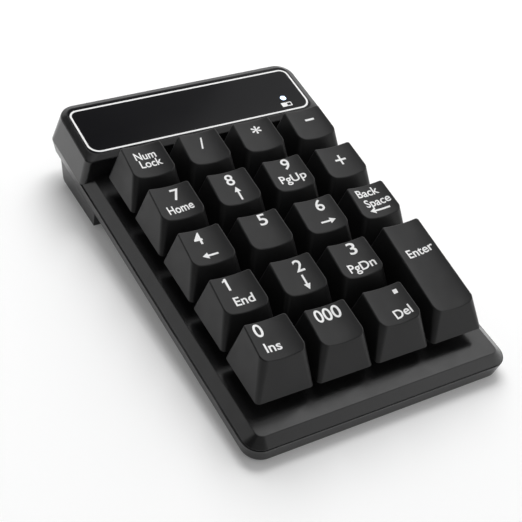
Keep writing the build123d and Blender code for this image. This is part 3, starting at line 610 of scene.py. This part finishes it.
def print_keys():
    """Prints every key's legend onto its cap."""
    for key, outlines in legends.items():
        middle = deck_middle("plunger_" + key)
        print_onto(joined(outlines), "keycap_" + key, middle, "legend_" + key, "key_" + key)


print_keys()
add_domes()

# ---------------------------------------------------------------- print and light on the panel
line_half_width = 39.6 * mm
line_front = middle_row + 54.45 * mm
line_rear = middle_row + 73.35 * mm
line_width = 0.64 * mm
line_front_corner = 3.5 * mm
line_rear_corner = 2.6 * mm
sign_place = (31.7 * mm, middle_row + 57.2 * mm)
sign_block = (1.7 * mm, 1.9 * mm)
sign_block_x = -1.03 * mm       # from the middle of the sign
sign_box_x = 0.9 * mm
sign_box_half = (0.86 * mm, 0.76 * mm)
sign_box_corner = 0.2 * mm
sign_box_line = 0.38 * mm


def rounded_ring(half_width, half_length, front_radius, rear_radius, line, steps=10):
    """Flat bmesh of a rounded rectangular line, centred on the origin."""
    ring = bmesh.new()
    loops = []
    for inset in (-line / 2, line / 2):
        loop = []
        for quarter in range(4):
            sign_x = 1 if quarter in (0, 3) else -1
            sign_y = 1 if quarter in (0, 1) else -1
            radius = rear_radius if quarter in (0, 1) else front_radius
            for step in range(steps + 1):
                angle = (quarter + step / steps) * pi / 2
                x = sign_x * (half_width - radius) + (radius - inset) * cos(angle)
                y = sign_y * (half_length - radius) + (radius - inset) * sin(angle)
                loop.append(ring.verts.new((x, y, 0)))
        loops.append(loop)
    count = len(loops[0])
    for index in range(count):
        after = (index + 1) % count
        ring.faces.new([loops[0][index], loops[0][after], loops[1][after], loops[1][index]])
    return ring


def disc_outline(radius, steps=32):
    """Flat bmesh of a round window, centred on the origin."""
    turns = [2 * pi * step / steps for step in range(steps)]
    return flat_polygon([(radius * cos(turn), radius * sin(turn)) for turn in turns])


def print_panel():
    """White line round the glossy panel, the lit window and the small battery sign under it."""
    line_middle = (0, (line_front + line_rear) / 2)
    ring = rounded_ring(line_half_width, (line_rear - line_front) / 2, line_front_corner, line_rear_corner,
                        line_width)
    print_onto(ring, "lens_panel", line_middle, "panel_border", "case")
    sign = joined([
        move(bar_outline(*sign_block), sign_block_x, 0),
        move(rounded_ring(*sign_box_half, sign_box_corner, sign_box_corner, sign_box_line, 3), sign_box_x, 0),
    ])
    print_onto(sign, "lens_panel", sign_place, "battery_sign", "case")
    window = print_onto(disc_outline(light_radius), "lens_panel", (light_x, light_y), "light_window", "case")
    window.data.materials[0] = materials["status_glow"]


print_panel()

# ---------------------------------------------------------------- studio
wall_low = 0.96                 # brightness near the horizon
wall_high = 0.1                 # brightness overhead
wall_bright_to = 0.6            # heights of the change, as sines of the elevation
wall_dim_from = 0.76

# Each further patch of the walls lies in one direction. It grows between two values of how far a world
# direction leans towards that one.
shadow_side = (-0.7, -0.7, 0.1)
shadow_side_from = 0.1
shadow_side_to = 0.6
shadow_side_share = 0.05        # brightness left there
right_wall = (0.617, -0.76, 0.204)
right_wall_edge = 0.012         # half the width of its sharp edge
right_wall_light = 0.2
key_sheen = (0.449, 0.283, 0.847)
key_sheen_from = 0.95
key_sheen_to = 0.99
key_sheen_light = 1.7           # patch high up to the right rear, which the key tops show

floor_reach = 3.0
floor_tone = 0.85
floor_glow = 0.1


def add_floor():
    """Plain pale floor, large enough to fill every view."""
    plate = bar_outline(2 * floor_reach, 2 * floor_reach)
    mesh = bpy.data.meshes.new("floor")
    plate.to_mesh(mesh)
    plate.free()
    floor = bpy.data.objects.new("floor", mesh)
    bpy.context.scene.collection.objects.link(floor)
    material, tree, shader = principled("floor_paper", (floor_tone,) * 3, 0.9)
    shader.inputs["Specular IOR Level"].default_value = 0.0
    shader.inputs["Emission Color"].default_value = (1, 1, 1, 1)
    shader.inputs["Emission Strength"].default_value = floor_glow
    mesh.materials.append(material)


def add_softbox(name, azimuth, elevation, distance, width, power):
    """Round soft light aimed at the keypad from azimuth and elevation in degrees.

    Glossy surfaces don't mirror it: what shines in the plastic is the walls alone.
    """
    light = bpy.data.lights.new(name, "AREA")
    light.shape = "DISK"
    light.size = width
    light.energy = power
    lamp = bpy.data.objects.new(name, light)
    bpy.context.scene.collection.objects.link(lamp)
    azimuth, elevation = radians(azimuth), radians(elevation)
    away = Vector((sin(azimuth) * cos(elevation), -cos(azimuth) * cos(elevation), sin(elevation)))
    lamp.location = away * distance
    lamp.rotation_euler = away.to_track_quat("Z", "Y").to_euler()
    lamp.visible_glossy = False


def towards(tree, place, direction):
    """How far each world direction leans towards this one."""
    lean = tree.nodes.new("ShaderNodeVectorMath")
    lean.operation = "DOT_PRODUCT"
    lean.inputs[1].default_value = direction
    tree.links.new(place.outputs["Generated"], lean.inputs[0])
    return lean.outputs["Value"]


def world_step(tree, source, low, high, before, after):
    """Smooth change of brightness between two values of the source."""
    step = tree.nodes.new("ShaderNodeMapRange")
    step.interpolation_type = "SMOOTHSTEP"
    step.inputs["From Min"].default_value = low
    step.inputs["From Max"].default_value = high
    step.inputs["To Min"].default_value = before
    step.inputs["To Max"].default_value = after
    tree.links.new(source, step.inputs["Value"])
    return step.outputs["Result"]


def add_world():
    """Studio walls: bright low down, dim overhead, darker on the shadow side and lighter on the right.

    A small bright patch high up gives the key tops their sheen.
    """
    world = bpy.data.worlds.new("studio")
    world.use_nodes = True
    tree = world.node_tree
    place = tree.nodes.new("ShaderNodeTexCoord")
    split = tree.nodes.new("ShaderNodeSeparateXYZ")
    tree.links.new(place.outputs["Generated"], split.inputs["Vector"])
    height = world_step(tree, split.outputs["Z"], wall_bright_to, wall_dim_from, wall_low, wall_high)
    shadow = world_step(
        tree, towards(tree, place, shadow_side), shadow_side_from, shadow_side_to, 1.0, shadow_side_share,
    )
    right = world_step(
        tree, towards(tree, place, right_wall), -right_wall_edge, right_wall_edge, 0.0, right_wall_light,
    )
    total = tree.nodes.new("ShaderNodeMath")
    total.operation = "MULTIPLY_ADD"
    tree.links.new(height, total.inputs[0])
    tree.links.new(shadow, total.inputs[1])
    tree.links.new(right, total.inputs[2])
    sheen = world_step(
        tree, towards(tree, place, key_sheen), key_sheen_from, key_sheen_to, 0.0, key_sheen_light,
    )
    whole = tree.nodes.new("ShaderNodeMath")
    whole.operation = "ADD"
    tree.links.new(total.outputs["Value"], whole.inputs[0])
    tree.links.new(sheen, whole.inputs[1])
    background = tree.nodes["Background"]
    background.inputs["Color"].default_value = (1, 1, 1, 1)
    tree.links.new(whole.outputs["Value"], background.inputs["Strength"])
    bpy.context.scene.world = world


def add_camera():
    """Camera to the front left, looking down at the deck and turned a little."""
    data = bpy.data.cameras.new("camera")
    data.lens = camera_lens
    data.sensor_width = camera_sensor
    camera = bpy.data.objects.new("camera", data)
    bpy.context.scene.collection.objects.link(camera)
    away = Vector((
        sin(camera_azimuth) * cos(camera_elevation),
        -cos(camera_azimuth) * cos(camera_elevation),
        sin(camera_elevation),
    ))
    camera.location = camera_target + away * camera_distance
    aim = away.to_track_quat("Z", "Y").to_matrix().to_4x4()
    camera.matrix_world = Matrix.Translation(camera.location) @ aim @ Matrix.Rotation(camera_roll, 4, "Z")
    bpy.context.scene.camera = camera


add_floor()
add_world()
add_softbox("overhead", azimuth=155, elevation=50, distance=1.0, width=0.8, power=9.0)
add_camera()
bpy.context.scene.view_settings.view_transform = "Standard"
